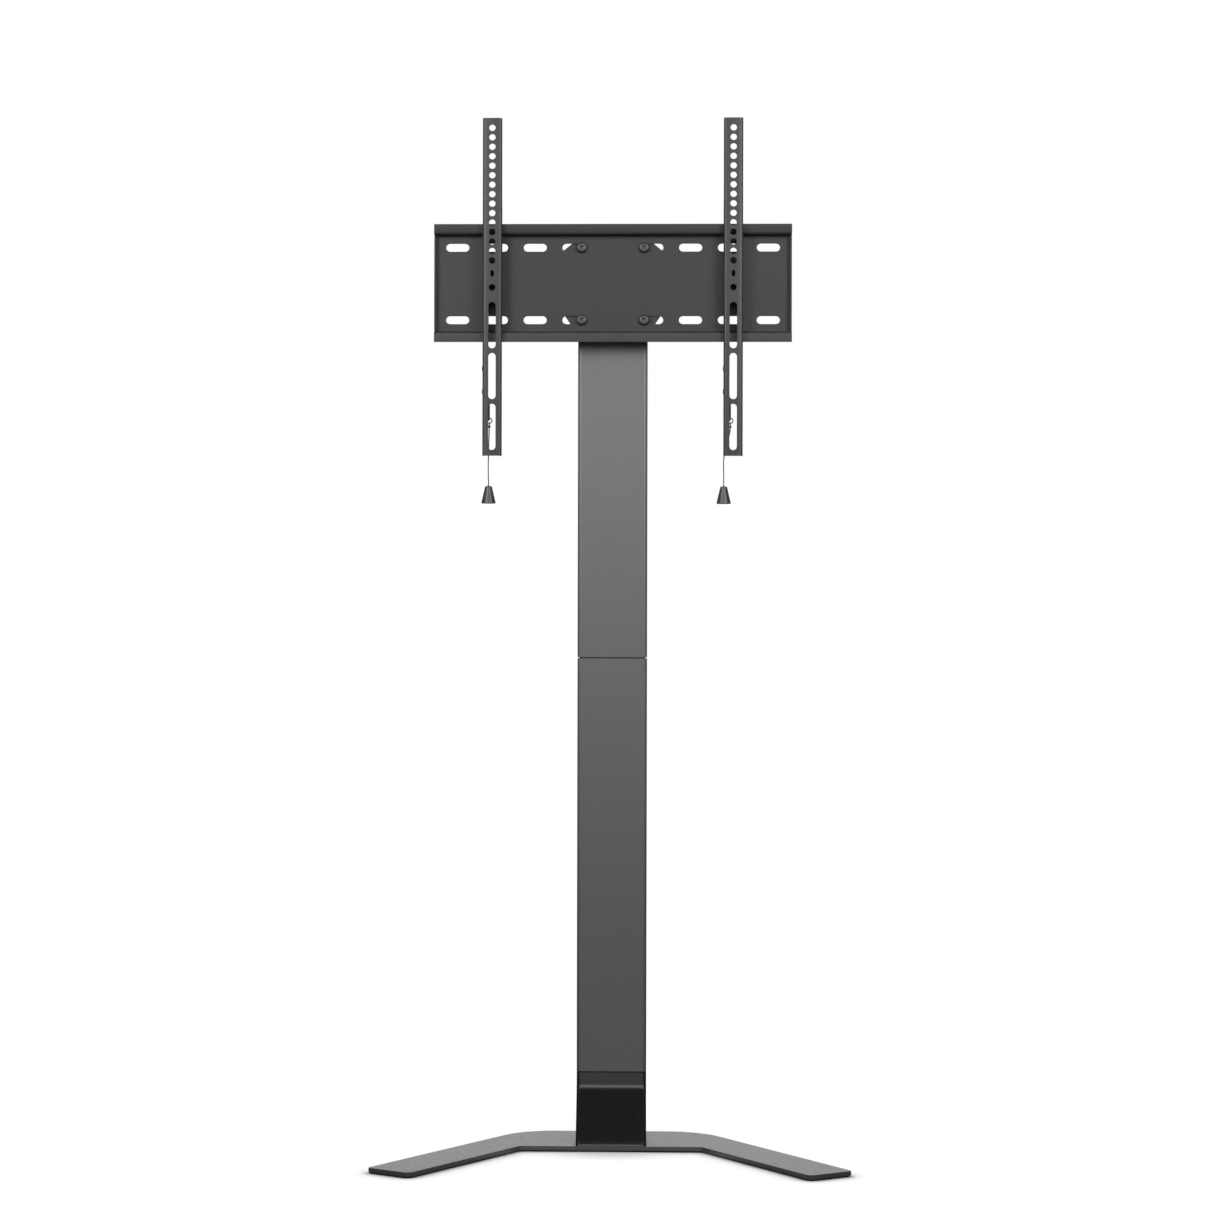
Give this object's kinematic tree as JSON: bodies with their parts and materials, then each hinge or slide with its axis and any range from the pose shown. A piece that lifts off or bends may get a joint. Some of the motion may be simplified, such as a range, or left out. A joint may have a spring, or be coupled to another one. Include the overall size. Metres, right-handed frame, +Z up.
{
  "type": "tv floor stand with mount",
  "caption": "Slim floor stand for a flat screen: splayed steel foot, two-piece tube column, slotted mounting plate and two hooked screen arms with spring latches and pull cords.",
  "frame": {"origin": "middle of the foot's outline on the floor", "axes": "+Z up, the screen faces -Y, +X to the viewer's right"},
  "size_m": [0.6018, 0.3161, 1.3455],
  "materials": {
    "base_paint": "fine textured powder coat, dark grey",
    "column_paint": "satin powder coat, dark grey",
    "shoe_paint": "satin black powder coat",
    "mount_paint": "satin powder coat, dark grey",
    "zinc_steel": "zinc plated",
    "black_steel": "black oxide",
    "black_plastic": "moulded, semi-gloss",
    "rubber": "matt",
    "cord": "fine braid"
  },
  "bodies": {
    "stand": {"base_plate": "base_paint", "base_pad_1": "rubber", "base_pad_2": "rubber", "base_pad_3": "rubber", "base_pad_4": "rubber", "base_pad_5": "rubber", "base_pad_6": "rubber", "base_bolt_1": "black_steel", "base_bolt_2": "black_steel", "base_bolt_3": "black_steel", "base_bolt_4": "black_steel", "foot_spigot": "zinc_steel", "foot_shoe": "shoe_paint", "lower_tube": "column_paint", "upper_tube": "column_paint", "tube_joiner": "zinc_steel", "foot_screw_1": "black_steel", "foot_screw_2": "black_steel", "joiner_screw_1": "black_steel", "joiner_screw_2": "black_steel", "joiner_screw_3": "black_steel", "joiner_screw_4": "black_steel", "top_cap": "black_plastic"},
    "head": {"head_bracket": "mount_paint", "clamp_strap": "mount_paint", "clamp_bolt_1": "black_steel", "clamp_bolt_2": "black_steel", "clamp_bolt_3": "black_steel", "clamp_bolt_4": "black_steel", "clamp_nut_1": "zinc_steel", "clamp_nut_2": "zinc_steel", "clamp_nut_3": "zinc_steel", "clamp_nut_4": "zinc_steel", "plate_bolt_1": "black_steel", "plate_bolt_2": "black_steel", "plate_bolt_3": "black_steel", "plate_bolt_4": "black_steel", "plate_nut_1": "zinc_steel", "plate_nut_2": "zinc_steel", "plate_nut_3": "zinc_steel", "plate_nut_4": "zinc_steel", "wall_plate": "mount_paint"},
    "arm_left": {"arm_left": "mount_paint", "latch_rivet_left_1": "zinc_steel", "latch_rivet_left_2": "zinc_steel", "latch_spring_left": "zinc_steel"},
    "latch_left": {"latch_left": "mount_paint", "pull_ring_left": "black_steel", "pull_cord_left": "cord", "pull_knob_left": "black_plastic"},
    "arm_right": {"arm_right": "mount_paint", "latch_rivet_right_1": "zinc_steel", "latch_rivet_right_2": "zinc_steel", "latch_spring_right": "zinc_steel"},
    "latch_right": {"latch_right": "mount_paint", "pull_ring_right": "black_steel", "pull_cord_right": "cord", "pull_knob_right": "black_plastic"}
  },
  "joints": [
    {"name": "height_slide", "type": "slide", "parent": "stand", "child": "head", "axis": [0, 0, 1], "range_m": [-0.2, 0]},
    {"name": "arm_left_slide", "type": "slide", "parent": "head", "child": "arm_left", "axis": [1, 0, 0], "range_m": [-0.058, 0.09]},
    {"name": "arm_right_slide", "type": "slide", "parent": "head", "child": "arm_right", "axis": [1, 0, 0], "range_m": [-0.09, 0.06]},
    {"name": "latch_left_pull", "type": "slide", "parent": "arm_left", "child": "latch_left", "axis": [0, 0, 1], "range_m": [-0.011, 0], "stiffness_N_per_m": 300, "springref_m": 0.01, "deforming": ["latch_spring_left"]},
    {"name": "latch_right_pull", "type": "slide", "parent": "arm_right", "child": "latch_right", "axis": [0, 0, 1], "range_m": [-0.011, 0], "stiffness_N_per_m": 300, "springref_m": 0.01, "deforming": ["latch_spring_right"]}
  ]
}
